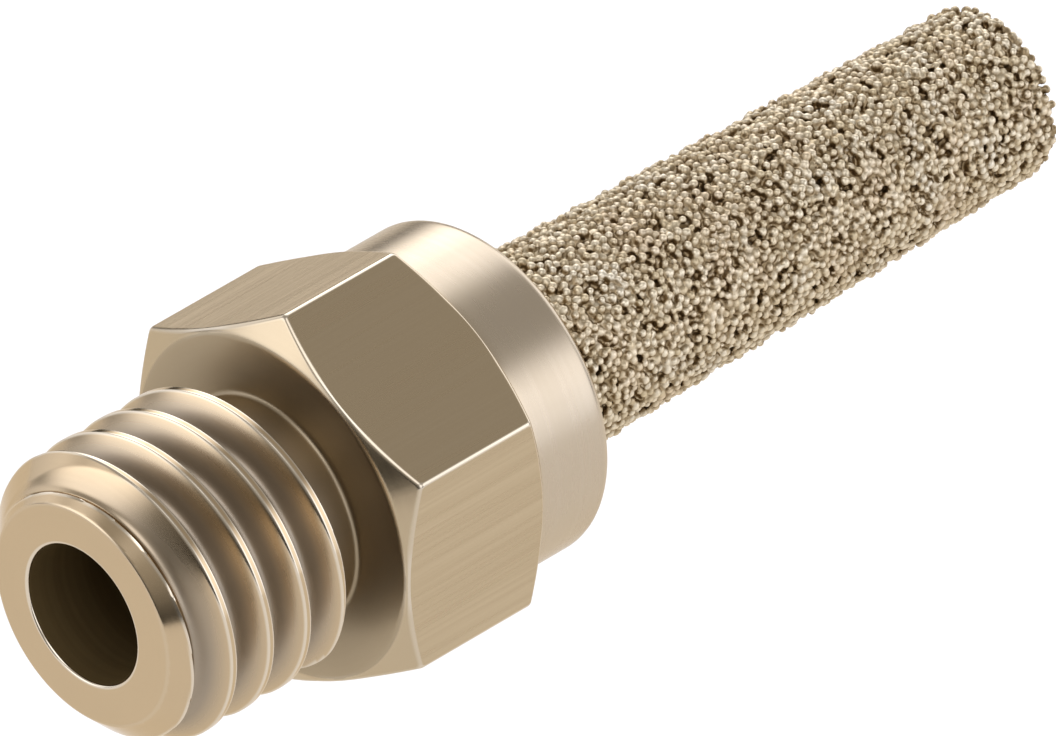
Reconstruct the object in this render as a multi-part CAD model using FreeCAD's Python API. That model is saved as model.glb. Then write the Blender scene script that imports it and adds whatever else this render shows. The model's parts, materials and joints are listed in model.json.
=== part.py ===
import FreeCAD, Part
import math
import os

# An M5 pneumatic exhaust muffler: a turned threaded body with a blind sintered element pressed into
# its rear. Millimetres. +X is the axis and points to the closed sintered end, +Z points at a corner
# of the hexagon, and the origin is on the axis in the plane of the hexagon's seating face.

# Thread: M5 x 0.8, right hand, 60 degree profile
THREAD_R = 2.5
PITCH = 0.8
FLANK_ANGLE = 30.0
THREAD_DEPTH = 0.6134 * PITCH
CREST_FLAT = PITCH / 8
CREST_AT_TIP_ANGLE = 135.0
CREST_AT_TIP = 0.74

# Stub in front of the seating face
STUB_LENGTH = 4.1
TIP_FACE_R = 1.885
NECK_R = 1.9
NECK_LENGTH = 0.85
NECK_FILLET = 0.06

# Spanner hexagon
ACROSS_FLATS = 6.0
HEX_LENGTH = 3.0
HEX_FACE_R = 2.93
HEX_CHAMFER_ANGLE = 30.0
HEX_EDGE_ROUND = 0.1

# Collar behind the hexagon
COLLAR_R = 2.855
COLLAR_LENGTH = 1.62
COLLAR_RIM_ROUND = 0.2

# Air way through the body
BORE_R = 1.2
BORE_MOUTH_ROUND = 0.07
POCKET_R = 1.8
POCKET_FLOOR_X = 1.1

# Sintered element: straight shank in the pocket, then a slight draft to the closed end
ELEMENT_END_X = 16.0
ELEMENT_END_R = 1.52
ELEMENT_END_ROUND = 0.18
HOLLOW_MOUTH_R = 1.2
HOLLOW_END_R = 0.95
HOLLOW_END_X = 14.5

TIP_X = -STUB_LENGTH
COLLAR_END_X = HEX_LENGTH + COLLAR_LENGTH
CLEAR = 1.0  # how far a cutting solid runs past what it cuts


def turned(outline):
    """The solid that a closed outline of (x, radius) points makes when it is turned about the X axis."""
    points = [FreeCAD.Vector(x, r, 0) for x, r in outline]
    face = Part.Face(Part.makePolygon(points + points[:1]))
    return face.revolve(FreeCAD.Vector(0, 0, 0), FreeCAD.Vector(1, 0, 0), 360)


def ring_edges(shape, x, radius):
    """The circular edges about the X axis at this place and radius."""
    found = []
    for edge in shape.Edges:
        curve = edge.Curve
        if not isinstance(curve, Part.Circle):
            continue
        if abs(curve.Center.x - x) < 1e-4 and abs(curve.Radius - radius) < 1e-4:
            found.append(edge)
    return found


def stub():
    """The blank of the threaded end: chamfered tip, thread diameter, relief neck."""
    chamfer_end_x = TIP_X + THREAD_R - TIP_FACE_R
    inside_hex_x = HEX_LENGTH / 2
    return turned([
        (TIP_X, 0),
        (TIP_X, TIP_FACE_R),
        (chamfer_end_x, THREAD_R),
        (-NECK_LENGTH, THREAD_R),
        (-NECK_LENGTH, NECK_R),
        (inside_hex_x, NECK_R),
        (inside_hex_x, 0),
    ])


def thread_groove():
    """The V groove between the thread's crests, swept along its helix from before the tip into the neck."""
    slope = math.tan(math.radians(FLANK_ANGLE))
    root_r = THREAD_R - THREAD_DEPTH
    outer_r = THREAD_R + 0.05
    half_root = (PITCH - CREST_FLAT) / 2 - THREAD_DEPTH * slope
    half_outer = half_root + (outer_r - root_r) * slope
    turns = math.ceil((STUB_LENGTH + CLEAR) / PITCH)
    length = turns * PITCH

    helix = Part.makeHelix(PITCH, length, root_r)
    corners = [
        FreeCAD.Vector(root_r, 0, -half_root),
        FreeCAD.Vector(outer_r, 0, -half_outer),
        FreeCAD.Vector(outer_r, 0, half_outer),
        FreeCAD.Vector(root_r, 0, half_root),
    ]
    section = Part.makePolygon(corners + corners[:1])
    groove = Part.Wire(helix.Edges).makePipeShell([section], True, True)

    # The helix starts at local +X and climbs local +Z. The first turn lays that climb along the X axis,
    # which brings the start to -Z, and the second sets where round the axis the groove starts.
    groove.rotate(FreeCAD.Vector(0, 0, 0), FreeCAD.Vector(0, 1, 0), 90)
    groove_after_crest = 0.5 * PITCH
    end_x = -0.5 * NECK_LENGTH
    start_x = end_x - length
    at_tip_angle = TIP_X + CREST_AT_TIP + groove_after_crest
    start_angle = CREST_AT_TIP_ANGLE + 360 * (start_x - at_tip_angle) / PITCH
    groove.rotate(FreeCAD.Vector(0, 0, 0), FreeCAD.Vector(1, 0, 0), start_angle + 90)
    groove.translate(FreeCAD.Vector(start_x, 0, 0))
    return groove


def hexagon():
    """The spanner hexagon, a corner up, its long edges broken and both ends chamfered."""
    corner_r = ACROSS_FLATS / math.sqrt(3)
    corners = []
    for i in range(6):
        angle = math.radians(90 + 60 * i)
        corners.append(FreeCAD.Vector(0, corner_r * math.cos(angle), corner_r * math.sin(angle)))
    face = Part.Face(Part.makePolygon(corners + corners[:1]))
    prism = face.extrude(FreeCAD.Vector(HEX_LENGTH, 0, 0))
    long_edges = [e for e in prism.Edges if abs(e.Length - HEX_LENGTH) < 1e-6]
    prism = prism.makeFillet(HEX_EDGE_ROUND, long_edges)

    cone_r = corner_r + CLEAR
    cone_x = (cone_r - HEX_FACE_R) * math.tan(math.radians(HEX_CHAMFER_ANGLE))
    ends = turned([
        (0, 0),
        (0, HEX_FACE_R),
        (cone_x, cone_r),
        (HEX_LENGTH - cone_x, cone_r),
        (HEX_LENGTH, HEX_FACE_R),
        (HEX_LENGTH, 0),
    ])
    return prism.common(ends)


def collar():
    """The round collar that holds the sintered element, its rear rim rounded."""
    inside_hex_x = HEX_LENGTH / 2
    blank = turned([
        (inside_hex_x, 0),
        (inside_hex_x, COLLAR_R),
        (COLLAR_END_X, COLLAR_R),
        (COLLAR_END_X, 0),
    ])
    return blank.makeFillet(COLLAR_RIM_ROUND, ring_edges(blank, COLLAR_END_X, COLLAR_R))


def threaded_body():
    """The one-piece turned body."""
    blank = stub().fuse([hexagon(), collar()]).removeSplitter()
    blank = blank.makeFillet(NECK_FILLET, ring_edges(blank, 0, NECK_R))
    air_way = turned([
        (TIP_X - CLEAR, 0),
        (TIP_X - CLEAR, BORE_R),
        (POCKET_FLOOR_X, BORE_R),
        (POCKET_FLOOR_X, POCKET_R),
        (COLLAR_END_X + CLEAR, POCKET_R),
        (COLLAR_END_X + CLEAR, 0),
    ])
    bored = blank.cut(air_way)
    bored = bored.makeFillet(BORE_MOUTH_ROUND, ring_edges(bored, TIP_X, BORE_R))
    return bored.cut(thread_groove())


def sintered_element():
    """The porous element: an open shank in the body's pocket and a drafted, closed outer end."""
    outer = turned([
        (POCKET_FLOOR_X, 0),
        (POCKET_FLOOR_X, POCKET_R),
        (COLLAR_END_X, POCKET_R),
        (ELEMENT_END_X, ELEMENT_END_R),
        (ELEMENT_END_X, 0),
    ])
    outer = outer.makeFillet(ELEMENT_END_ROUND, ring_edges(outer, ELEMENT_END_X, ELEMENT_END_R))
    hollow = turned([
        (POCKET_FLOOR_X - CLEAR, 0),
        (POCKET_FLOOR_X - CLEAR, HOLLOW_MOUTH_R),
        (POCKET_FLOOR_X, HOLLOW_MOUTH_R),
        (HOLLOW_END_X, HOLLOW_END_R),
        (HOLLOW_END_X, 0),
    ])
    return outer.cut(hollow)


def main():
    os.makedirs("parts", exist_ok=True)
    nodes = {
        "threaded_body": threaded_body(),
        "sintered_element": sintered_element(),
    }
    for name, shape in nodes.items():
        solid = shape.Solids[0]
        box = solid.BoundBox
        print(name, "valid", solid.isValid(), "solids", len(shape.Solids), "faces", len(solid.Faces))
        print("  volume mm3", round(solid.Volume, 3), "x", round(box.XMin, 3), "to", round(box.XMax, 3))
        solid.exportStep(f"parts/{name}.step")


main()
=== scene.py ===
import json
import math
from itertools import product

import bmesh
import bpy
import numpy as np
from mathutils import Matrix, Vector
from mathutils.kdtree import KDTree


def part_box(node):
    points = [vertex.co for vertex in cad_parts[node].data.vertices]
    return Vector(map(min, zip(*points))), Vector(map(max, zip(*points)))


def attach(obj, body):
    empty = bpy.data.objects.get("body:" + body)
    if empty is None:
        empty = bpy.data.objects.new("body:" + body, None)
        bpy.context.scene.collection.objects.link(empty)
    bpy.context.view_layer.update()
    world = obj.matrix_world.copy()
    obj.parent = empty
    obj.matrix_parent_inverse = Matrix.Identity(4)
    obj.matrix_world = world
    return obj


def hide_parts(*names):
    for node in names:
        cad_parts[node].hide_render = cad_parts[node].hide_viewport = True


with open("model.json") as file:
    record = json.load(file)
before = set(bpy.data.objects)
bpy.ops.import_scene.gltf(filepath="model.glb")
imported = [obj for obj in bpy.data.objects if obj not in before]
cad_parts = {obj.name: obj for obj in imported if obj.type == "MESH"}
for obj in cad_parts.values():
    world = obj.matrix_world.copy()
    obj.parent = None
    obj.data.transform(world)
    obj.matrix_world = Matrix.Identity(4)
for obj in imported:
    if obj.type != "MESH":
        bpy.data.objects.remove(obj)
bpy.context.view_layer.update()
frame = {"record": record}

# Lengths are in millimetres, in the CAD's own frame, unless a comment says otherwise. MM turns them
# into metres.
MM = 0.001
mounts = {m["name"]: m for m in frame["record"]["mounts"]}
body_low, body_high = (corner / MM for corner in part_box("threaded_body"))
element_low, element_high = (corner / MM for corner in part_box("sintered_element"))

# Thread and stub, as in the CAD body
THREAD_R = mounts["thread"]["dims"]["r_mm"]
PITCH = 0.8
FLANK_SLOPE = 1 / math.tan(math.radians(30))
THREAD_DEPTH = 0.6134 * PITCH
CREST_FLAT = PITCH / 8
CREST_AT_TIP = 0.74
CREST_AT_TIP_ANGLE = math.radians(135)
TIP_X = body_low.x
TIP_FACE_R = 1.885
NECK_R = 1.9
NECK_X = -0.85
BORE_R = mounts["air_bore"]["dims"]["r_mm"]

# Hexagon, as in the CAD body. From the middle of a flat it is one sector, in degrees, to the next.
SECTOR = 60
CORNER_ANGLE = math.radians(SECTOR / 2)
HALF_FLATS = body_high.y
HEX_LENGTH = 3.0
HEX_FACE_R = 2.93
HEX_CHAMFER_SLOPE = math.tan(math.radians(30))
HEX_CORNER_ROUND = 0.1

# Each long edge's rounding: how far its centre is from the axis, and the angle from the middle of the
# flat at which it starts
CORNER_CENTRE_R = (HALF_FLATS - HEX_CORNER_ROUND) / math.cos(CORNER_ANGLE)
CORNER_START = math.atan2(CORNER_CENTRE_R / 2, HALF_FLATS)

# Collar and rear pocket, as in the CAD body
COLLAR_R = 2.855
COLLAR_END_X = body_high.x
COLLAR_RIM_ROUND = 0.2
POCKET_R = element_high.z
POCKET_FLOOR_X = element_low.x

# Roundings that the skin has of its own. FLANK_RAISE makes up for what the crests lose by theirs.
CREST_ROUND = 0.018
ROOT_ROUND = 0.12
FLANK_RAISE = 0.012
CHAMFER_ROUND = 0.012
TIP_EDGE_ROUND = 0.08
BORE_MOUTH_ROUND = 0.045
NECK_EDGE_ROUND = 0.03
NECK_FILLET = 0.08
HEX_FACE_ROUND = 0.25
HEX_RIM_ROUND = 0.11
POCKET_MOUTH_ROUND = 0.05

# A rounding reaches along at most this share of the shorter line beside its corner. Its support points
# lie beyond it by a share of that reach, or of the line if that is less.
REACH_SHARE = 0.4
SUPPORT_OF_REACH = 0.35
SUPPORT_OF_LINE = 0.08

# Columns on half a flat and half a corner, and the gap between them, in degrees
FLAT_COLUMNS = 16
CORNER_COLUMNS = 5
COLUMN_GAP = 0.4

# Rows of half a thread: where the close ones on the crest lie, from its middle, and then even ones.
# Spare turns are laid past both ends of the thread and clipped to it.
CREST_ROWS = (0, 0.012, 0.024, 0.036, 0.05, 0.064)
FLANK_ROWS_FROM = 0.08
FLANK_ROW_STEP = 0.02
SPARE_TURNS = 2

# How far up the tip's chamfer the line goes that bounds the tip edge's rounding
UP_CHAMFER = 0.2

# Points that agree to this many decimals are one, edges that bend by more than this angle stay sharp,
# and a place this near a surface counts as on it
MERGE_DECIMALS = 5
SHARP_ANGLE = math.radians(38)
NEAR = 0.01
NEAR_FLAT = 0.002

# Edges that turn this sharply, per millimetre, start to get a painted highlight in their colour, and get it
# fully. The collar's rim and the tip get less of it. The rim's painted highlight ends this far outside the
# pocket.
EDGE_FROM = 1.6
EDGE_FULL = 6
RIM_HIGHLIGHT = 0.7
RIM_MARGIN = 0.1
TIP_HIGHLIGHT = 0.2

# How much painted shade the seating face gets at its outer edge, how much more it gets at the neck, and how
# much painted shade the rest of the hexagon's front half gets
FACE_PAINTED_SHADE = 0.46
NECK_PAINTED_SHADE = 0.3
FRONT_PAINTED_SHADE = 0.14

# Sintered element
ELEMENT_END_X = element_high.x
ELEMENT_END_R = 1.52
ELEMENT_END_ROUND = 0.18
HOLLOW_MOUTH_R = 1.2
HOLLOW_END_R = 0.95
HOLLOW_END_X = 14.5

# Sintered grains: each layer is the range of depths of its grains' outermost points below the skin,
# and how many places are tried for them. Fusing is how near two grains' centres may be, as a share of
# the sum of their radii.
GRAIN_SEED = 7
GRAIN_R = (0.062, 0.090)
GRAIN_FUSE = (0.78, 1.0)
GRAIN_LAYERS = [(0, 0.05, 130000), (0.06, 0.11, 90000), (0.11, 0.15, 40000)]
GRAINS_FROM_X = COLLAR_END_X - 0.2
ROUND_OFF = 1e-9

# Columns of a grain's row, after its place
SIZE, TONE, FUSE = 3, 4, 5

# Between clusters of about this size the grains lie deeper, by up to this depth
CLUSTER_SIZE = 0.42
CLUSTER_DEPTH = 0.055
CLUSTER_WAVES = 24

# How the skin is made: the core's depth below it and the core's columns, how fine a grain's ball is,
# the voxel size, how far from a ball, in voxels, a point is still moved onto it, how much the skin is
# smoothed, the share of its faces that is kept, and the step over which its slope is taken
CORE_DEPTH = 0.21
CORE_COLUMNS = 96
BALL_SUBDIVISIONS = 2
SKIN_VOXEL = 0.032
TRUE_UP_VOXELS = 0.6
SKIN_SMOOTHING = 0.3
SKIN_KEEP = 0.38
SLOPE_STEP = 0.01

# Colours of the brass: plain, darker marks, the stub, the collar, the painted highlight on edges, the
# painted shade on the seating face and the painted shade in the thread
BRASS = (0.485, 0.38, 0.245)
BRASS_DARK = (0.435, 0.335, 0.21)
BRASS_WARM = (0.51, 0.382, 0.235)
BRASS_PALE = (0.50, 0.415, 0.31)
EDGE_HIGHLIGHT_BRASS = (0.63, 0.54, 0.415)
PAINTED_SHADE_BRASS = (0.19, 0.15, 0.098)
PAINTED_SHADE_THREAD = (0.215, 0.195, 0.172)
BRASS_TINT = (0.86, 0.78, 0.66, 1)
DRILLED_DARK = (0.15, 0.095, 0.035)
DRILLED_PALE = (0.235, 0.16, 0.065)

# In all the materials, a span is the range of a value over which its effect runs from none to full, a
# share is that full effect, a scale is noise cells to a metre, a height is that of a bump in metres, and
# a roughness runs from the first number to the second as its noise grows.
NOISE_SPAN = (0.3, 0.7)

# Where along the axis, in metres, the stub's colours change to the hexagon's, the painted shade of the
# thread to that of the seating face, and the hexagon's colours to the collar's
STUB_SPAN = (-0.0006, 0)
PAINTED_SHADE_STUB_SPAN = (-0.0006, -0.0001)
COLLAR_SPAN = (0.0027, 0.0032)

# Turned brass
RING_SCALE = 12000
RING_HEIGHT = 0.2e-6
RING_SHARE = 0.4
CLOUD_SCALE = 900
CLOUD_SHARE = 0.6
DARK_SHARE = 0.2
# Painted shade in the thread, on the seating face and on the hexagon's front half: the span and share of its
# colour
PAINTED_SHADE_SPAN = (0.02, 0.65)
PAINTED_SHADE_SHARE = 0.64
DULL_SPAN = (0.05, 0.6)
DULL_SHARE = 0.24
COLLAR_DULL_SHARE = 0.12
TURNED_ROUGHNESS = (0.18, 0.12)

# Brushed brass: its scratches have a scale along the axis and two across it
FINE_SCRATCHES = (200, 18000, 18000)
BROAD_SCRATCHES = (150, 5000, 5000)
SCRATCH_SPAN = (0.35, 0.65)
SCRATCH_SHARE = 0.5
SCRATCH_HEIGHT = 0.8e-6
BRUSHED_ROUGHNESS = (0.30, 0.20)

# Drilled brass
DRILL_RING_SCALE = 8000
DRILL_RING_HEIGHT = 1.5e-6

# Sintered bronze: the grains' tones, warm and pale patches of them, the painted shade on their sides, and
# the painted shade in the pores, whose span is a depth in millimetres
GRAIN_DARK = (0.61, 0.495, 0.32)
GRAIN_LIGHT = (0.81, 0.705, 0.53)
PATCH_SCALE = 1100
PATCH_SHARE = 0.4
PATCH_WARM = (0.74, 0.58, 0.42)
WARM_SPAN = (0.5, 0.68)
PATCH_PALE = (0.80, 0.75, 0.65)
PALE_SPAN = (0.45, 0.3)
GRAIN_SIDE_SHADE = (0.235, 0.165, 0.085)
GRAIN_SIDE_SHADE_SPAN = (0.92, 0.3)
GRAIN_SIDE_SHADE_SHARE = 0.92
PORE_SHADE = (0.22, 0.15, 0.075)
PORE_SHADE_SPAN = (0.07, 0.22)
PORE_SHADE_SHARE = 0.65
SPECKLE_SCALE = 14000
SPECKLE_HEIGHT = 3e-6
GRAIN_ROUGHNESS = (0.30, 0.44)

# Camera: a long lens, aimed at a point this far to the right of the tip's centre in the view, above it
# and beyond it. PX_PER_MM is the object's scale in a frame FRAME_WIDTH pixels wide.
LENS = 1100
PX_PER_MM = 64.215
SENSOR = 36
FRAME_WIDTH = 1056
AIM = (6.87, 3.81, 5.8)

# Floor, which glows a little, and the brightness of the surroundings where the camera sees them
FLOOR_Z = -60
FLOOR_HALF_WIDTH = 450
FLOOR_COLOUR = (0.93, 0.91, 0.88, 1)
FLOOR_GLOW = 0.06
SEEN_WHITE = 1.1

# Each soft light is a direction, the angles from it, in degrees, at which the light starts to fade and
# ends, and its colour. The first is the ceiling.
LAMP = np.array((0.95, 1.0, 1.13))
SOFT_LIGHTS = [
    ((0, 0, 1), 60, 100, (0.52, 0.51, 0.50)),
    ((0.58, 0.58, 0.58), 8, 32, 1.8 * LAMP),
    ((0.58, 0.76, 0.32), 5, 18, 1.1 * LAMP),
    ((0.58, -0.79, 0.18), 8, 32, 1.7 * LAMP),
    ((-0.3, -0.9, 0.25), 8, 30, 1.5 * LAMP),
    ((-0.45, -0.25, 0.86), 10, 30, 1.9 * LAMP),
    ((-0.79, 0.58, 0.22), 8, 30, 2.0 * LAMP),
    ((-0.1, 0.97, 0.12), 10, 32, 1.1 * LAMP),
    ((1, 0.1, 0.06), 14, 34, 1.5 * LAMP),
]


def link(name, data):
    """A new object in the scene, with this mesh or camera."""
    obj = bpy.data.objects.new(name, data)
    bpy.context.scene.collection.objects.link(obj)
    return obj


def corners_of(mesh):
    """The mesh's vertex places, one row each."""
    places = np.zeros(len(mesh.vertices) * 3)
    mesh.vertices.foreach_get("co", places)
    return places.reshape(-1, 3)


def smooth_shaded(mesh):
    """Shades all the mesh's faces smooth."""
    mesh.polygons.foreach_set("use_smooth", np.ones(len(mesh.polygons), bool))


def store(mesh, name, values):
    """Keeps a value for each point of the mesh, which a material can read by name."""
    attribute = mesh.attributes.new(name, "FLOAT", "POINT")
    attribute.data.foreach_set("value", values.astype(np.float32))


def column_angles():
    """Angles round the axis: even steps on each flat of the hexagon and fine ones round its corners."""
    corner_start = math.degrees(CORNER_START)
    on_flat = np.linspace(0, corner_start - COLUMN_GAP, FLAT_COLUMNS)
    on_corner = np.linspace(corner_start, SECTOR / 2, CORNER_COLUMNS)
    half = [*on_flat, *on_corner]
    sector = half + [SECTOR - a for a in reversed(half[1:-1])]
    return np.radians([SECTOR * k + a for k in range(6) for a in sector] + [360])


def angle_from_flat(angle):
    """How far round an angle is from the middle of its flat; a corner points to +Z."""
    return (angle + CORNER_ANGLE) % (2 * CORNER_ANGLE) - CORNER_ANGLE


def hexagon_radius(angle):
    """The distance from the axis to the hexagon's side at this angle."""
    from_flat = abs(angle_from_flat(angle))
    if from_flat <= CORNER_START:
        return HALF_FLATS / math.cos(from_flat)
    off = CORNER_ANGLE - from_flat
    across = CORNER_CENTRE_R * math.sin(off)
    return CORNER_CENTRE_R * math.cos(off) + math.sqrt(HEX_CORNER_ROUND**2 - across**2)


def rounded(corners):
    """Points along an outline of (x, radius, rounding, steps) corners: an arc at each rounded corner, with
    a support point beside each of its ends. Outlines of the same corners have as many points."""
    places = [np.array(c[:2], float) for c in corners]
    points = [places[0]]
    for i in range(1, len(corners) - 1):
        here = places[i]
        rounding, steps = corners[i][2:]
        if not rounding:
            points.append(here)
            continue
        back, on = places[i - 1] - here, places[i + 1] - here
        line = min(np.linalg.norm(back), np.linalg.norm(on))
        back, on = back / np.linalg.norm(back), on / np.linalg.norm(on)
        half = math.acos(np.clip(back @ on, -1, 1)) / 2
        reach = min(rounding / math.tan(half), REACH_SHARE * line)
        radius = reach * math.tan(half)
        middle = here + (back + on) / np.linalg.norm(back + on) * radius / math.sin(half)
        start, end = here + back * reach - middle, here + on * reach - middle
        support = min(SUPPORT_OF_REACH * reach, SUPPORT_OF_LINE * line)
        points.append(here + back * (reach + support))
        sweep = math.pi - 2 * half
        for k in range(steps + 1):
            t = k / steps
            arm = (math.sin((1 - t) * sweep) * start + math.sin(t * sweep) * end) / math.sin(sweep)
            points.append(middle + arm)
        points.append(here + on * (reach + support))
    points.append(places[-1])
    return np.array(points)


def smooth_min(a, b, width):
    """The smaller of two values, with the crease between them rounded off."""
    h = np.clip(0.5 + 0.5 * (b - a) / width, 0, 1)
    return b + (a - b) * h - width * h * (1 - h)


def thread_radius(x, angle):
    """The thread's surface: V grooves, rounded crests and roots, and the chamfer at the tip."""
    crest_x = TIP_X + CREST_AT_TIP + PITCH * (angle - CREST_AT_TIP_ANGLE) / math.tau
    off = np.abs((x - crest_x + PITCH / 2) % PITCH - PITCH / 2)
    flank = THREAD_R + FLANK_RAISE - (off - CREST_FLAT / 2) * FLANK_SLOPE
    radius = smooth_min(flank, THREAD_R, CREST_ROUND)
    radius = -smooth_min(-radius, -(THREAD_R - THREAD_DEPTH), ROOT_ROUND)
    chamfer = TIP_FACE_R + x - TIP_X
    return smooth_min(radius, chamfer, CHAMFER_ROUND)


def thread_rows(angles, start_x):
    """Rows that follow the helix from the tip chamfer to the neck. One that runs past an end stays on it."""
    even = np.arange(FLANK_ROWS_FROM, PITCH / 2 - FLANK_ROW_STEP / 2, FLANK_ROW_STEP)
    steps = np.concatenate([CREST_ROWS, even])
    one_turn = np.concatenate([steps, [PITCH / 2], PITCH - steps[:0:-1]])
    first = CREST_AT_TIP - PITCH * CREST_AT_TIP_ANGLE / math.tau
    turns = range(-SPARE_TURNS - math.ceil(first / PITCH),
                  math.ceil((NECK_X - TIP_X) / PITCH) + SPARE_TURNS)
    at_zero = np.concatenate([TIP_X + first + PITCH * k + one_turn for k in turns])
    rows = []
    for x0 in at_zero:
        x = np.clip(x0 + PITCH * angles / math.tau, start_x, NECK_X)
        rows.append(np.stack([x, thread_radius(x, angles)], axis=1))
    return rows


def all_round(points, angles):
    """A row for each (x, radius) point, the same at every angle."""
    return [np.tile(point, (len(angles), 1)) for point in points]


def body_outlines(angles):
    """Rows of (x, radius) for each angle, once round the body's section: bore, tip, thread, hexagon,
    collar, pocket and back along the bore."""
    front = rounded([
        (0, BORE_R, 0, 0),
        (TIP_X, BORE_R, BORE_MOUTH_ROUND, 6),
        (TIP_X, TIP_FACE_R, TIP_EDGE_ROUND, 4),
        (TIP_X + UP_CHAMFER, TIP_FACE_R + UP_CHAMFER, 0, 0),
    ])[:-2]
    rear = []
    for angle in angles:
        side = hexagon_radius(angle)
        chamfer = (side - HEX_FACE_R) * HEX_CHAMFER_SLOPE
        rear.append(rounded([
            (NECK_X, thread_radius(NECK_X, angle), 0, 0),
            (NECK_X, NECK_R, NECK_EDGE_ROUND, 3),
            (0, NECK_R, NECK_FILLET, 5),
            (0, HEX_FACE_R, HEX_FACE_ROUND, 4),
            (chamfer, side, HEX_RIM_ROUND, 4),
            (HEX_LENGTH - chamfer, side, HEX_RIM_ROUND, 4),
            (HEX_LENGTH, HEX_FACE_R, HEX_FACE_ROUND, 4),
            (HEX_LENGTH, COLLAR_R, 0, 0),
            (COLLAR_END_X, COLLAR_R, COLLAR_RIM_ROUND, 8),
            (COLLAR_END_X, POCKET_R, POCKET_MOUTH_ROUND, 4),
            (POCKET_FLOOR_X, POCKET_R, 0, 0),
            (POCKET_FLOOR_X, BORE_R, 0, 0),
            (0, BORE_R, 0, 0),
        ]))
    rear_rows = list(np.array(rear).transpose(1, 0, 2)[1:])
    return all_round(front, angles) + thread_rows(angles, front[-1][0]) + rear_rows


def mesh_from_rows(name, rows, angles, unit):
    """A closed mesh through rows of (x, radius) points, in this unit. Points that meet are one vertex."""
    grid = np.array(rows)
    x, radius = grid[..., 0], grid[..., 1]
    points = np.stack([x, radius * np.cos(angles), radius * np.sin(angles)], axis=-1).reshape(-1, 3)
    keys, ids = np.unique(np.round(points, MERGE_DECIMALS), axis=0, return_inverse=True)
    ids = ids.reshape(grid.shape[:2])
    faces = []
    for r in range(len(rows) - 1):
        for c in range(len(angles) - 1):
            loop = [ids[r, c], ids[r, c + 1], ids[r + 1, c + 1], ids[r + 1, c]]
            face = [v for i, v in enumerate(loop) if v != loop[i - 1]]
            if len(set(face)) > 2:
                faces.append(face)
    mesh = bpy.data.meshes.new(name)
    mesh.from_pydata((keys * unit).tolist(), [], faces)
    mesh.validate()
    return mesh


def convexity(mesh):
    """How sharply the surface turns away round each point, per millimetre. Hollow places are negative."""
    places = corners_of(mesh) / MM
    normals = np.zeros(len(mesh.vertices) * 3)
    mesh.vertex_normals.foreach_get("vector", normals)
    normals = normals.reshape(-1, 3)
    ends = np.zeros(len(mesh.edges) * 2, np.int32)
    mesh.edges.foreach_get("vertices", ends)
    first, second = ends.reshape(-1, 2).T
    step = places[second] - places[first]
    turn = ((normals[second] - normals[first]) * step).sum(axis=1) / (step * step).sum(axis=1)
    total = np.zeros(len(places))
    count = np.zeros(len(places))
    for side in (first, second):
        np.add.at(total, side, turn)
        np.add.at(count, side, 1)
    return total / count


def painted_recess_shade(mesh):
    """How much painted shade each point gets, from 0 out in the open: in the thread by its depth, on the
    seating face more towards the neck, and a little on the front half of the hexagon."""
    x, y, z = corners_of(mesh).T / MM
    radius = np.hypot(y, z)
    open_r = np.minimum(THREAD_R, TIP_FACE_R + x - TIP_X)
    in_thread = np.clip((open_r - radius) / THREAD_DEPTH, 0, 1)
    towards_neck = np.clip((HEX_FACE_R - radius) / (HEX_FACE_R - NECK_R), 0, 1)
    on_face = FACE_PAINTED_SHADE + NECK_PAINTED_SHADE * towards_neck
    on_hexagon = np.where(x < HEX_LENGTH / 2, FRONT_PAINTED_SHADE, 0)
    painted_shade = np.where(x > NEAR, on_hexagon, np.where(x > -NEAR, on_face, in_thread))
    at_tip = x < TIP_X + TIP_EDGE_ROUND
    inside = radius < BORE_R + BORE_MOUTH_ROUND + NEAR
    return np.where(inside | at_tip, 0, painted_shade)


def painted_edge_highlight(mesh):
    """How much painted highlight each point gets on the edges: 0 off the edges, 1 on a sharp one."""
    x, y, z = corners_of(mesh).T / MM
    radius = np.hypot(y, z)
    sharp = np.clip((convexity(mesh) - EDGE_FROM) / (EDGE_FULL - EDGE_FROM), 0, 1)
    at_rim = np.clip((x - COLLAR_END_X) / COLLAR_RIM_ROUND + 1, 0, 1)
    rim = at_rim * (radius > POCKET_R + RIM_MARGIN)
    on_tip = (x < TIP_X + TIP_EDGE_ROUND) & (radius > (BORE_R + TIP_FACE_R) / 2)
    sharp *= np.where(on_tip, TIP_HIGHLIGHT, 1)
    return np.maximum(sharp, RIM_HIGHLIGHT * rim)


def assign_body_slots(mesh):
    """Slot 0 is turned metal, 1 the hexagon's flats, 2 the drilled inside."""
    centres = np.zeros(len(mesh.polygons) * 3)
    mesh.polygons.foreach_get("center", centres)
    x, y, z = centres.reshape(-1, 3).T / MM
    radius = np.hypot(y, z)
    from_flat = angle_from_flat(np.arctan2(z, y))
    on_flat = np.abs(radius * np.cos(from_flat) - HALF_FLATS) < NEAR_FLAT
    inside = (radius < BORE_R + NEAR) & (x > TIP_X + BORE_MOUTH_ROUND)
    inside |= (radius < POCKET_R + NEAR) & (x > POCKET_FLOOR_X - NEAR)
    slots = np.where(on_flat, 1, np.where(inside, 2, 0))
    mesh.polygons.foreach_set("material_index", slots.astype(np.int32))


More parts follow.
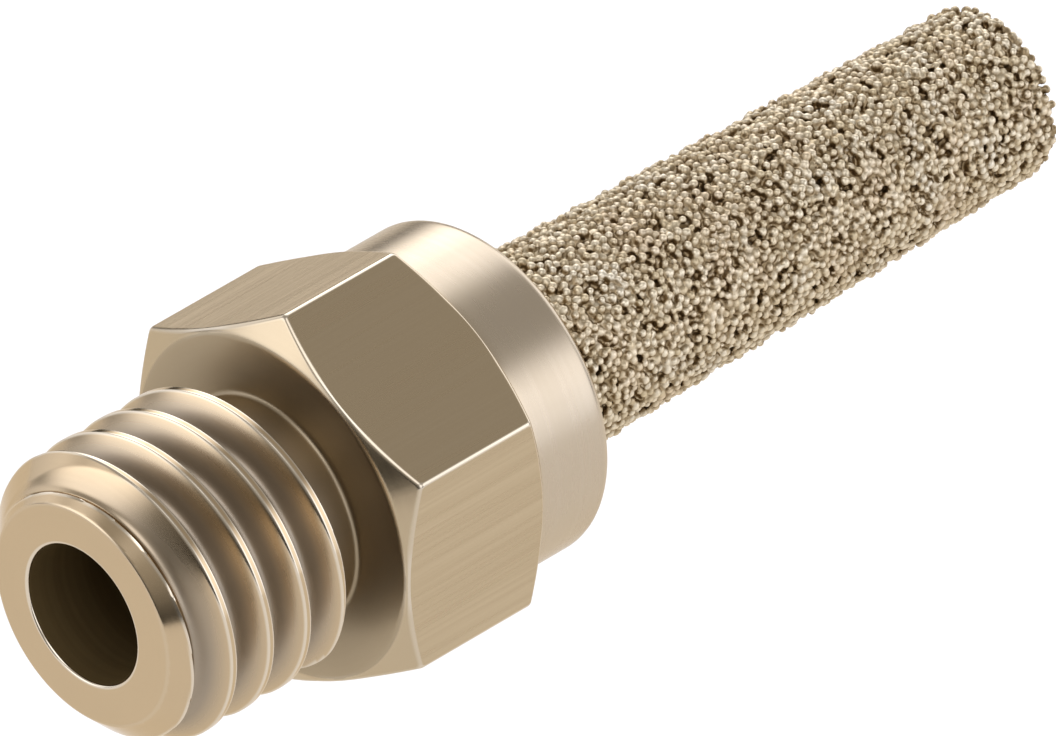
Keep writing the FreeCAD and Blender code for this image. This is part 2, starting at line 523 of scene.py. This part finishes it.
def threaded_body():
    """The turned brass body, with its thread, hexagon and collar in full detail."""
    angles = column_angles()
    mesh = mesh_from_rows("threaded_body_skin", body_outlines(angles), angles, MM)
    work = bmesh.new()
    work.from_mesh(mesh)
    bmesh.ops.recalc_face_normals(work, faces=work.faces)
    work.to_mesh(mesh)
    work.free()
    smooth_shaded(mesh)
    mesh.set_sharp_from_angle(angle=SHARP_ANGLE)
    assign_body_slots(mesh)
    # Painted shade in the thread, on the seating face and on the hexagon's front half, for the turned
    # brass's colour
    store(mesh, "painted_shade", painted_recess_shade(mesh))
    # Painted highlight on the edges, for the turned brass's colour
    store(mesh, "painted_highlight", painted_edge_highlight(mesh))
    return link("threaded_body_skin", mesh)


def element_radius(x):
    """The radius of the element's skin: straight in the collar, then a slight draft to the closed end."""
    return np.interp(x, (COLLAR_END_X, ELEMENT_END_X), (POCKET_R, ELEMENT_END_R))


def depth_below_skin(x, radius):
    """How deep a point lies below the element's skin, whose end has a rounded edge."""
    side = element_radius(x) - radius
    end = ELEMENT_END_X - x
    in_edge = (side < ELEMENT_END_ROUND) & (end < ELEMENT_END_ROUND)
    from_edge = ELEMENT_END_ROUND - np.hypot(ELEMENT_END_ROUND - side, ELEMENT_END_ROUND - end)
    return np.where(in_edge, from_edge, np.minimum(side, end))


def outward(places):
    """The direction out of the element at each of these places."""
    x, y, z = places[:, :3].T
    radius = np.hypot(y, z)
    here = depth_below_skin(x, radius)
    along = here - depth_below_skin(x + SLOPE_STEP, radius)
    away = here - depth_below_skin(x, radius + SLOPE_STEP)
    way = np.stack([along, away * y / radius, away * z / radius], axis=1)
    return way / np.linalg.norm(way, axis=1, keepdims=True)


def cluster_waves(random):
    """The directions and phases of the waves whose sum makes the grains stand in clusters."""
    ways = random.normal(size=(CLUSTER_WAVES, 3))
    ways *= math.tau / CLUSTER_SIZE / np.linalg.norm(ways, axis=1, keepdims=True)
    return ways, random.uniform(0, math.tau, CLUSTER_WAVES)


def between_clusters(waves, x, radius, angle):
    """How far each place lies from a cluster: 0 in one, 1 in the middle of a gap between them."""
    ways, phases = waves
    places = np.stack([x, radius * np.cos(angle), radius * np.sin(angle)], axis=1)
    total = np.cos(places @ ways.T + phases).sum(axis=1) / math.sqrt(CLUSTER_WAVES / 2)
    return np.clip(0.5 + 0.5 * total, 0, 1)


def tried_grains(random, waves, shallow, deep, tries):
    """Places tried for one layer of grains, as rows of x, y, z, grain radius, tone and fusing. One that
    falls past the element's end goes on its end face instead."""
    size = random.uniform(*GRAIN_R, tries)
    depth = size + random.uniform(shallow, deep, tries)
    along = random.uniform(GRAINS_FROM_X, ELEMENT_END_X + ELEMENT_END_R / 2, tries)
    angle = random.uniform(0, math.tau, tries)
    from_axis = ELEMENT_END_R * np.sqrt(random.uniform(0, 1, tries))
    on_side = along < ELEMENT_END_X - GRAIN_R[0]
    skin_x = np.minimum(along, ELEMENT_END_X)
    skin_r = np.where(on_side, element_radius(along), from_axis)
    depth += CLUSTER_DEPTH * between_clusters(waves, skin_x, skin_r, angle)
    x = np.where(on_side, along, ELEMENT_END_X - depth)
    radius = np.where(on_side, element_radius(along) - depth, from_axis)
    fits = depth_below_skin(x, radius) > size - ROUND_OFF
    tone = random.uniform(0, 1, tries)
    fuse = random.uniform(*GRAIN_FUSE, tries)
    return np.stack([x, radius * np.cos(angle), radius * np.sin(angle), size, tone, fuse], axis=1)[fits]


def grains():
    """The grains that fit: one after another, each where no earlier grain is too near."""
    random = np.random.default_rng(GRAIN_SEED)
    waves = cluster_waves(random)
    cell = 2 * GRAIN_R[1]
    near = list(product((-1, 0, 1), repeat=3))
    cells = {}
    placed = []
    for shallow, deep, tries in GRAIN_LAYERS:
        for grain in tried_grains(random, waves, shallow, deep, tries).tolist():
            a, b, c = (int(v // cell) for v in grain[:3])
            others = (g for i, j, k in near for g in cells.get((a + i, b + j, c + k), ()))
            if all(math.dist(grain[:3], g[:3]) >= grain[FUSE] * (grain[SIZE] + g[SIZE]) for g in others):
                cells.setdefault((a, b, c), []).append(grain)
                placed.append(grain)
    return np.array(placed)


def arrays_of(work):
    """The corners and triangles of a bmesh, which is freed."""
    corners = np.array([v.co[:] for v in work.verts])
    triangles = np.array([[v.index for v in f.verts] for f in work.faces])
    work.free()
    return corners, triangles


def ball():
    """The corners and triangles of a unit ball."""
    work = bmesh.new()
    bmesh.ops.create_icosphere(work, subdivisions=BALL_SUBDIVISIONS, radius=1)
    return arrays_of(work)


def core():
    """The corners and triangles of the solid that carries the grains: the shank in the collar, and a tube
    with a closed end under the grains, round the element's hollow."""
    end_x = ELEMENT_END_X - CORE_DEPTH
    outline = [
        (HOLLOW_END_X, 0),
        (HOLLOW_END_X, HOLLOW_END_R),
        (POCKET_FLOOR_X, HOLLOW_MOUTH_R),
        (POCKET_FLOOR_X, POCKET_R),
        (GRAINS_FROM_X, POCKET_R),
        (GRAINS_FROM_X + CORE_DEPTH, POCKET_R - CORE_DEPTH),
        (COLLAR_END_X, POCKET_R - CORE_DEPTH),
        (end_x, ELEMENT_END_R - CORE_DEPTH),
        (end_x, 0),
    ]
    angles = np.linspace(0, math.tau, CORE_COLUMNS + 1)
    work = bmesh.new()
    work.from_mesh(mesh_from_rows("core", all_round(outline, angles), angles, 1))
    bmesh.ops.triangulate(work, faces=work.faces)
    bmesh.ops.recalc_face_normals(work, faces=work.faces)
    return arrays_of(work)


def triangle_mesh(name, corners, triangles):
    """A mesh from arrays of corners and triangles."""
    mesh = bpy.data.meshes.new(name)
    mesh.vertices.add(len(corners))
    mesh.vertices.foreach_set("co", corners.astype(np.float32).ravel())
    mesh.loops.add(triangles.size)
    mesh.loops.foreach_set("vertex_index", triangles.astype(np.int32).ravel())
    mesh.polygons.add(len(triangles))
    mesh.polygons.foreach_set("loop_start", np.arange(0, triangles.size, 3, dtype=np.int32))
    mesh.update(calc_edges=True)
    return mesh


def with_modifiers(mesh, modifiers):
    """The mesh that (type, settings) modifiers make of this one, each in turn."""
    for kind, settings in modifiers:
        obj = link("work", mesh)
        modifier = obj.modifiers.new("work", kind)
        for setting, value in settings.items():
            setattr(modifier, setting, value)
        mesh = bpy.data.meshes.new_from_object(obj.evaluated_get(bpy.context.evaluated_depsgraph_get()))
        bpy.data.objects.remove(obj)
    return mesh


def true_up(skin, placed):
    """Moves the skin's points that lie near a grain onto its ball. Keeps each grain's tone, and how far
    each point faces out of the element on its ball, from 1 at the ball's top to 0 at its sides."""
    tree = KDTree(len(placed))
    for i, grain in enumerate(placed):
        tree.insert(grain[:3], i)
    tree.balance()
    corners = corners_of(skin)
    nearest = placed[[tree.find(corner)[1] for corner in corners]]
    arm = corners - nearest[:, :3]
    reach = np.linalg.norm(arm, axis=1, keepdims=True)
    size = nearest[:, [SIZE]]
    on_ball = nearest[:, :3] + arm * size / reach
    corners = np.where(np.abs(reach - size) < SKIN_VOXEL * TRUE_UP_VOXELS, on_ball, corners)
    skin.vertices.foreach_set("co", corners.ravel())
    store(skin, "grain_tone", nearest[:, TONE])
    store(skin, "grain_top", np.clip((arm / reach * outward(nearest)).sum(axis=1), 0, 1))


def sintered_skin(placed):
    """One closed skin, in millimetres, round the grains and their core, fused where grains touch."""
    ball_corners, ball_triangles = ball()
    core_corners, core_triangles = core()
    grain_corners = placed[:, None, :3] + placed[:, None, [SIZE]] * ball_corners
    firsts = np.arange(len(placed))[:, None, None] * len(ball_corners)
    grain_triangles = (ball_triangles + firsts).reshape(-1, 3)
    corners = np.concatenate([grain_corners.reshape(-1, 3), core_corners])
    triangles = np.concatenate([grain_triangles, core_triangles + grain_corners.size // 3])
    skin = with_modifiers(triangle_mesh("grains", corners, triangles), [
        ("REMESH", {"mode": "VOXEL", "voxel_size": SKIN_VOXEL}),
    ])
    true_up(skin, placed)
    return with_modifiers(skin, [
        ("SMOOTH", {"factor": SKIN_SMOOTHING, "iterations": 1}),
        ("DECIMATE", {"ratio": SKIN_KEEP, "use_collapse_triangulate": True}),
    ])


def sintered_element():
    """The porous element: thousands of fused bronze grains on a hollow core."""
    mesh = sintered_skin(grains())
    corners = corners_of(mesh)
    radius = np.hypot(corners[:, 1], corners[:, 2])
    # Depth below the skin, which the material turns into painted shade in the pores
    store(mesh, "pore_depth", depth_below_skin(corners[:, 0], radius))
    low = (POCKET_FLOOR_X, -POCKET_R, -POCKET_R)
    high = (ELEMENT_END_X, POCKET_R, POCKET_R)
    mesh.vertices.foreach_set("co", (np.clip(corners, low, high) * MM).ravel())
    smooth_shaded(mesh)
    mesh.update()
    mesh.name = "sintered_element_skin"
    return link("sintered_element_skin", mesh)


def principled(name, **values):
    """A new material and its Principled node, with these input values."""
    material = bpy.data.materials.new(name)
    material.use_nodes = True
    shader = material.node_tree.nodes["Principled BSDF"]
    for title, value in values.items():
        shader.inputs[title.replace("_", " ")].default_value = value
    return material, shader


def node(tree, kind, links=None, **settings):
    """A new node, with its settings, and its inputs linked to sockets or given values."""
    new = tree.nodes.new("ShaderNode" + kind)
    for setting, value in settings.items():
        setattr(new, setting, value)
    for key, value in (links or {}).items():
        if isinstance(value, bpy.types.NodeSocket):
            tree.links.new(value, new.inputs[key])
        else:
            new.inputs[key].default_value = value
    return new


def added(tree, a, b):
    """The sum of two values."""
    return node(tree, "Math", {0: a, 1: b}, operation="ADD").outputs[0]


def stored(tree, name):
    """The value that store() kept on the mesh under this name."""
    return node(tree, "Attribute", attribute_name=name).outputs["Fac"]


def place_socket(tree):
    """Where a point lies in the object's own frame, in metres."""
    return node(tree, "TexCoord").outputs["Object"]


def noise(tree, place, scale, detail=2.0, roughness=0.5):
    """Smooth noise from 0 to 1 at a place vector, scale cells to its unit."""
    return node(tree, "TexNoise", {"Vector": place, "Scale": scale, "Detail": detail,
                                   "Roughness": roughness}).outputs["Fac"]


def stretched(tree, place, scales):
    """The place vector with each axis scaled. Noise on it draws lines along the least scaled axis."""
    return node(tree, "VectorMath", {0: place, 1: scales}, operation="MULTIPLY").outputs["Vector"]


def remap(tree, value, low, high, new_low, new_high):
    """The value, moved from one range to another and kept inside it."""
    links = {"Value": value, "From Min": low, "From Max": high, "To Min": new_low, "To Max": new_high}
    return node(tree, "MapRange", links).outputs["Result"]


def mixed(tree, factor, first, second):
    """A colour between two colours."""
    mix = node(tree, "Mix", {"Factor": factor}, data_type="RGBA")
    for socket, colour in ((mix.inputs[6], first), (mix.inputs[7], second)):
        if isinstance(colour, bpy.types.NodeSocket):
            tree.links.new(colour, socket)
        else:
            socket.default_value = (*colour, 1)
    return mix.outputs[2]


def bumped(tree, shader, height, distance, strength=1.0):
    """Gives the shader a bump from a height of 0 to 1 times a distance in metres."""
    bump = node(tree, "Bump", {"Height": height, "Distance": distance, "Strength": strength})
    tree.links.new(bump.outputs["Normal"], shader.inputs["Normal"])


def lathe_place(tree):
    """A vector that changes along the axis and outwards but not round it, as a lathe tool's marks do."""
    parts = node(tree, "SeparateXYZ", {0: place_socket(tree)})
    across = node(tree, "CombineXYZ", {"X": parts.outputs["Y"], "Y": parts.outputs["Z"]})
    radius = node(tree, "VectorMath", {0: across.outputs[0]}, operation="LENGTH").outputs["Value"]
    return node(tree, "CombineXYZ", {"X": parts.outputs["X"], "Y": radius}).outputs[0]


def turned_brass():
    """Turned brass: bright, with fine rings from the lathe tool, a slight unevenness of tone, painted
    highlights on its edges and painted shade in its thread, on its seating face and on the hexagon's front
    half.
    """
    material, shader = principled("turned_brass", Metallic=1.0, Specular_Tint=BRASS_TINT)
    tree = material.node_tree
    rings = noise(tree, lathe_place(tree), RING_SCALE, detail=1.0)
    clouds = noise(tree, place_socket(tree), CLOUD_SCALE, detail=3.0)
    tone = added(tree, remap(tree, rings, *NOISE_SPAN, 0, RING_SHARE),
                 remap(tree, clouds, *NOISE_SPAN, 0, CLOUD_SHARE))
    painted_shade = stored(tree, "painted_shade")
    along = node(tree, "SeparateXYZ", {0: place_socket(tree)}).outputs["X"]
    front = mixed(tree, remap(tree, along, *STUB_SPAN, 0, 1), BRASS_WARM, BRASS)
    metal = mixed(tree, remap(tree, along, *COLLAR_SPAN, 0, 1), front, BRASS_PALE)
    bright = mixed(tree, remap(tree, tone, 0, 1, DARK_SHARE, 0), metal, BRASS_DARK)
    # Painted highlight on the edges
    edge_highlighted = mixed(tree, stored(tree, "painted_highlight"), bright, EDGE_HIGHLIGHT_BRASS)
    # Painted shade in the thread, on the seating face and on the hexagon's front half
    past_stub = remap(tree, along, *PAINTED_SHADE_STUB_SPAN, 0, 1)
    painted_shade_colour = mixed(tree, past_stub, PAINTED_SHADE_THREAD, PAINTED_SHADE_BRASS)
    colour = mixed(tree, remap(tree, painted_shade, *PAINTED_SHADE_SPAN, 0, PAINTED_SHADE_SHARE), edge_highlighted, painted_shade_colour)
    tree.links.new(colour, shader.inputs["Base Color"])
    polish = remap(tree, tone, 0, 1, *TURNED_ROUGHNESS)
    dulled = added(tree, polish, remap(tree, painted_shade, *DULL_SPAN, 0, DULL_SHARE))
    satin = added(tree, dulled, remap(tree, along, *COLLAR_SPAN, 0, COLLAR_DULL_SHARE))
    tree.links.new(satin, shader.inputs["Roughness"])
    bumped(tree, shader, rings, RING_HEIGHT, strength=0.5)
    return material


def brushed_brass():
    """The hexagon's flats: drawn bar, with fine scratches along the axis."""
    material, shader = principled("brushed_brass", Metallic=1.0, Specular_Tint=BRASS_TINT)
    tree = material.node_tree
    place = place_socket(tree)
    fine = noise(tree, stretched(tree, place, FINE_SCRATCHES), 1, roughness=0.6)
    broad = noise(tree, stretched(tree, place, BROAD_SCRATCHES), 1)
    tone = added(tree, remap(tree, fine, *SCRATCH_SPAN, 0, SCRATCH_SHARE),
                 remap(tree, broad, *SCRATCH_SPAN, 0, SCRATCH_SHARE))
    tree.links.new(mixed(tree, tone, BRASS_DARK, BRASS), shader.inputs["Base Color"])
    tree.links.new(remap(tree, tone, 0, 1, *BRUSHED_ROUGHNESS), shader.inputs["Roughness"])
    bumped(tree, shader, fine, SCRATCH_HEIGHT, strength=0.6)
    return material


def drilled_brass():
    """The drilled inside: rougher and duller, with coarse tool rings."""
    material, shader = principled("drilled_brass", Metallic=0.7, Roughness=0.42, Specular_Tint=BRASS_TINT)
    tree = material.node_tree
    rings = noise(tree, lathe_place(tree), DRILL_RING_SCALE, detail=1.0)
    tree.links.new(mixed(tree, rings, DRILLED_DARK, DRILLED_PALE), shader.inputs["Base Color"])
    bumped(tree, shader, rings, DRILL_RING_HEIGHT)
    return material


def sintered_bronze():
    """Sintered bronze: satin grains, each with its own tone, with painted shade on their sides and down in
    the pores.
    """
    material, shader = principled("sintered_bronze", Metallic=1.0, Specular_Tint=BRASS_TINT)
    tree = material.node_tree
    place = place_socket(tree)
    speckle = noise(tree, place, SPECKLE_SCALE)
    patches = noise(tree, place, PATCH_SCALE)
    grain = mixed(tree, stored(tree, "grain_tone"), GRAIN_DARK, GRAIN_LIGHT)
    warm = mixed(tree, remap(tree, patches, *WARM_SPAN, 0, PATCH_SHARE), grain, PATCH_WARM)
    pale = mixed(tree, remap(tree, patches, *PALE_SPAN, 0, PATCH_SHARE), warm, PATCH_PALE)
    # Painted shade on each grain's sides, from how far the point faces out on its ball
    side_shade = remap(tree, stored(tree, "grain_top"), *GRAIN_SIDE_SHADE_SPAN, 0, GRAIN_SIDE_SHADE_SHARE)
    side_shaded = mixed(tree, side_shade, pale, GRAIN_SIDE_SHADE)
    # Painted shade down in the pores
    pore_shade = remap(tree, stored(tree, "pore_depth"), *PORE_SHADE_SPAN, 0, PORE_SHADE_SHARE)
    tree.links.new(mixed(tree, pore_shade, side_shaded, PORE_SHADE), shader.inputs["Base Color"])
    tree.links.new(remap(tree, speckle, *NOISE_SPAN, *GRAIN_ROUGHNESS), shader.inputs["Roughness"])
    bumped(tree, shader, speckle, SPECKLE_HEIGHT, strength=0.5)
    return material


def dress(piece, materials):
    """Gives the piece its materials, one to a slot."""
    for material in materials:
        piece.data.materials.append(material)


def fit_body():
    """The threaded body, in place of its CAD node."""
    body = threaded_body()
    dress(body, [turned_brass(), brushed_brass(), drilled_brass()])
    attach(body, "root")
    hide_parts("threaded_body")


def fit_element():
    """The sintered element, in place of its CAD node."""
    element = sintered_element()
    dress(element, [sintered_bronze()])
    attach(element, "root")
    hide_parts("sintered_element")


def photo_camera():
    """A long lens that looks along (1, 1, -1), with the object's axis rising to the right."""
    right = Vector((1, -1, 0)).normalized()
    up = Vector((1, 1, 2)).normalized()
    look = Vector((1, 1, -1)).normalized()
    distance = LENS / SENSOR * FRAME_WIDTH / PX_PER_MM
    aim = Vector((TIP_X, 0, 0)) + AIM[0] * right + AIM[1] * up + AIM[2] * look
    data = bpy.data.cameras.new("camera")
    data.sensor_width = SENSOR
    data.lens = LENS
    data.clip_start = 0.001
    data.clip_end = 2
    camera = link("camera", data)
    camera.location = (aim - distance * look) * MM
    camera.rotation_euler = Matrix((right, up, -look)).transposed().to_euler()
    bpy.context.scene.camera = camera


def soft_light(tree, direction, inner, outer, colour):
    """A soft light in the surroundings: its colour within inner degrees of a direction, none past outer."""
    around = node(tree, "TexCoord").outputs["Generated"]
    along = node(tree, "VectorMath", {0: around, 1: Vector(direction).normalized()},
                 operation="DOT_PRODUCT")
    low, high = math.cos(math.radians(outer)), math.cos(math.radians(inner))
    fade = node(tree, "MapRange", {"Value": along.outputs["Value"], "From Min": low, "From Max": high},
                interpolation_type="SMOOTHSTEP")
    return node(tree, "VectorMath", {0: tuple(colour), "Scale": fade.outputs["Result"]},
                operation="SCALE").outputs["Vector"]


def studio_world():
    """Studio surroundings: a dim ceiling and soft lamps, and plain white where the camera sees them."""
    world = bpy.data.worlds.new("studio")
    bpy.context.scene.world = world
    world.use_nodes = True
    tree = world.node_tree
    light = (0, 0, 0)
    for soft in SOFT_LIGHTS:
        light = node(tree, "VectorMath", {0: soft_light(tree, *soft), 1: light}).outputs["Vector"]
    sees = node(tree, "LightPath").outputs["Is Camera Ray"]
    background = tree.nodes["Background"]
    tree.links.new(mixed(tree, sees, light, (SEEN_WHITE,) * 3), background.inputs["Color"])
    background.inputs["Strength"].default_value = 1


def floor():
    """A plain pale floor."""
    half = FLOOR_HALF_WIDTH * MM
    mesh = bpy.data.meshes.new("floor")
    corners = [(-half, -half, 0), (half, -half, 0), (half, half, 0), (-half, half, 0)]
    mesh.from_pydata(corners, [], [(0, 1, 2, 3)])
    plane = link("floor", mesh)
    plane.location.z = FLOOR_Z * MM
    material, shader = principled("pale_floor", Base_Color=FLOOR_COLOUR, Roughness=0.9)
    shader.inputs["Emission Color"].default_value = (1, 1, 1, 1)
    shader.inputs["Emission Strength"].default_value = FLOOR_GLOW
    mesh.materials.append(material)


fit_body()
fit_element()
photo_camera()
studio_world()
floor()
bpy.context.scene.view_settings.view_transform = "Standard"
